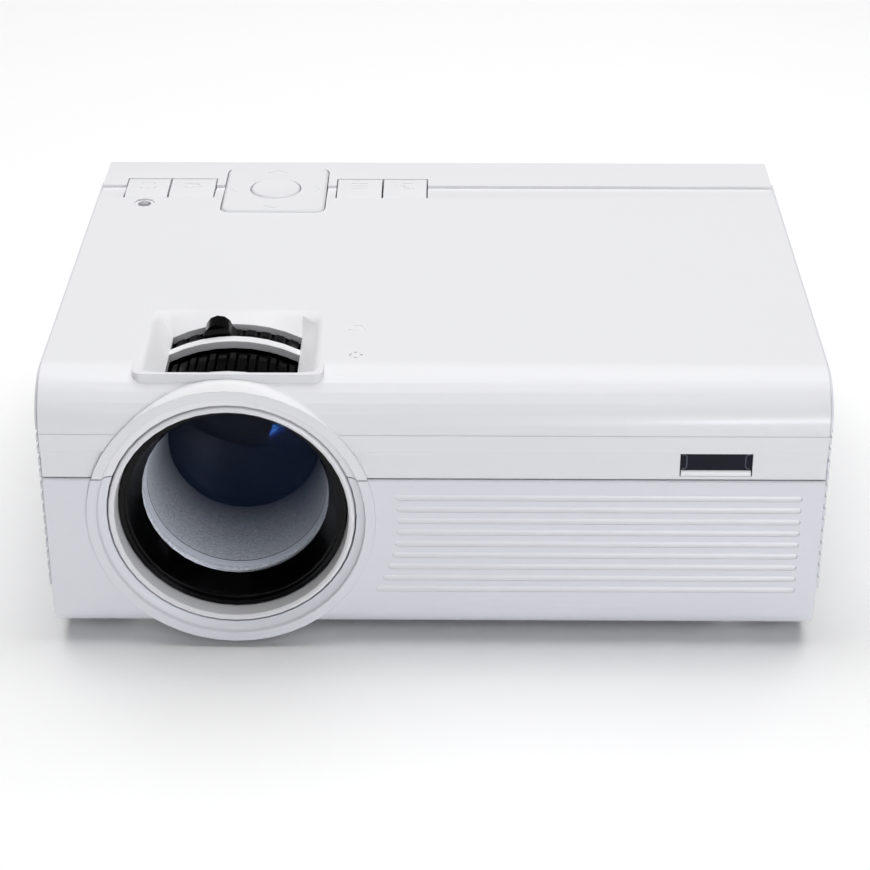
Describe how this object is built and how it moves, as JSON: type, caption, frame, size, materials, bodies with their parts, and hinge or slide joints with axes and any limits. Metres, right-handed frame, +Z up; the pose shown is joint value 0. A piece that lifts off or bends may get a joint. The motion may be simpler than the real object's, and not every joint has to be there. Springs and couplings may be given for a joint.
{
  "type": "video projector",
  "caption": "White desktop video projector with a recessed round lens, a finger well over a toothed focus ring and a keystone ring, top keys, louvred sides and grooved front.",
  "frame": {"origin": "centre of the bounding box's footprint, on the surface that the four feet stand on", "axes": "+X to the right as one faces the lens side, -Y the way the lens looks, +Z up"},
  "size_m": [0.2012, 0.1506, 0.0797],
  "materials": {
    "white_shell": "satin moulded plastic",
    "black_plastic": "glossy moulded plastic",
    "dark_plastic": "matt moulded plastic",
    "coated_glass": "polished and coated",
    "silver_paint": "fine-grained silver paint",
    "circuit_board": "solder mask",
    "light_pipe": "frosted clear",
    "smoked_window": "polished",
    "foot_rubber": "matt",
    "steel": "plated",
    "brass": "turned",
    "mirror_film": "first-surface coating",
    "lamp_phosphor": "matt",
    "aluminium": "extruded"
  },
  "bodies": {
    "chassis": {"top_cover": "white_shell", "lower_case": "white_shell", "left_side_panel": "white_shell", "right_side_panel": "white_shell", "rear_panel": "white_shell", "lens_bezel": "white_shell", "ir_sensor": "black_plastic", "audio_socket": "black_plastic", "power_inlet": "black_plastic", "lens_tube": "dark_plastic", "spacer_ring": "dark_plastic", "optical_box": "dark_plastic", "optical_lid": "dark_plastic", "fan_frame": "dark_plastic", "speaker": "dark_plastic", "condenser_lens": "coated_glass", "field_fresnel": "coated_glass", "collimator_fresnel": "coated_glass", "key_board": "circuit_board", "input_board": "circuit_board", "main_board": "circuit_board", "power_board": "circuit_board", "status_light": "light_pipe", "ir_window": "smoked_window", "foot_front_left": "foot_rubber", "foot_front_right": "foot_rubber", "foot_rear_left": "foot_rubber", "foot_rear_right": "foot_rubber", "screw_front_left": "steel", "screw_front_right": "steel", "screw_rear_left": "steel", "screw_rear_right": "steel", "hdmi_socket": "steel", "usb_socket": "steel", "card_socket": "steel", "tripod_bush": "brass", "fold_mirror": "mirror_film", "lamp_module": "lamp_phosphor", "heat_sink": "aluminium"},
    "focus": {"focus_ring": "black_plastic"},
    "barrel": {"lens_barrel": "black_plastic", "front_glass": "coated_glass", "silver_cup": "silver_paint", "rear_glass": "coated_glass", "lock_ring": "black_plastic"},
    "keystone": {"keystone_ring": "black_plastic"},
    "carrier": {"panel_carrier": "dark_plastic", "picture_panel": "smoked_window"},
    "power": {"power_key": "white_shell"},
    "back": {"back_key": "white_shell"},
    "menu": {"menu_key": "white_shell"},
    "source": {"source_key": "white_shell"},
    "pivot": {"nav_pivot_ring": "dark_plastic"},
    "nav": {"nav_tile": "white_shell"},
    "ok": {"ok_key": "white_shell"},
    "rotor": {"fan_rotor": "black_plastic"}
  },
  "joints": [
    {"name": "focus_turn", "type": "hinge", "parent": "chassis", "child": "focus", "pos_m": [-0.052, -0.0572, 0.0393], "axis": [0, 1, 0], "range_deg": [-61, 61]},
    {"name": "focus_slide", "type": "slide", "parent": "chassis", "child": "barrel", "axis": [0, 1, 0], "range_m": [-0.004, 0.004]},
    {"name": "keystone_turn", "type": "hinge", "parent": "chassis", "child": "keystone", "pos_m": [-0.052, -0.04125, 0.0393], "axis": [0, 1, 0], "range_deg": [-11, 25]},
    {"name": "panel_tilt", "type": "hinge", "parent": "chassis", "child": "carrier", "pos_m": [0.008, 0.0173, 0.0201], "axis": [0, 1, 0], "range_deg": [-1.8, 4]},
    {"name": "power_press", "type": "slide", "parent": "chassis", "child": "power", "axis": [0, 0, -1], "range_m": [0, 0.0008], "stiffness_N_per_m": 900, "springref_m": -0.0006},
    {"name": "back_press", "type": "slide", "parent": "chassis", "child": "back", "axis": [0, 0, -1], "range_m": [0, 0.0008], "stiffness_N_per_m": 900, "springref_m": -0.0006},
    {"name": "menu_press", "type": "slide", "parent": "chassis", "child": "menu", "axis": [0, 0, -1], "range_m": [0, 0.0008], "stiffness_N_per_m": 900, "springref_m": -0.0006},
    {"name": "source_press", "type": "slide", "parent": "chassis", "child": "source", "axis": [0, 0, -1], "range_m": [0, 0.0008], "stiffness_N_per_m": 900, "springref_m": -0.0006},
    {"name": "ok_press", "type": "slide", "parent": "chassis", "child": "ok", "axis": [0, 0, -1], "range_m": [0, 0.0008], "stiffness_N_per_m": 900, "springref_m": -0.0006},
    {"name": "nav_tilt_side", "type": "hinge", "parent": "chassis", "child": "pivot", "pos_m": [-0.04785, 0.05175, 0.071], "axis": [0, 1, 0], "range_deg": [-1.5, 1.5], "stiffness_Nm_per_rad": 1.2},
    {"name": "nav_tilt_front", "type": "hinge", "parent": "pivot", "child": "nav", "pos_m": [-0.04785, 0.05175, 0.071], "axis": [1, 0, 0], "range_deg": [-1.5, 1.5], "stiffness_Nm_per_rad": 1.2},
    {"name": "fan_spin", "type": "hinge", "parent": "chassis", "child": "rotor", "pos_m": [0.0874, 0.0173, 0.0393], "axis": [1, 0, 0], "continuous": true}
  ],
  "couplings": [
    {"joint": "focus_turn", "follows": "focus_slide", "rad_per_m": -261.8},
    {"joint": "panel_tilt", "follows": "keystone_turn", "ratio": 0.15313}
  ]
}
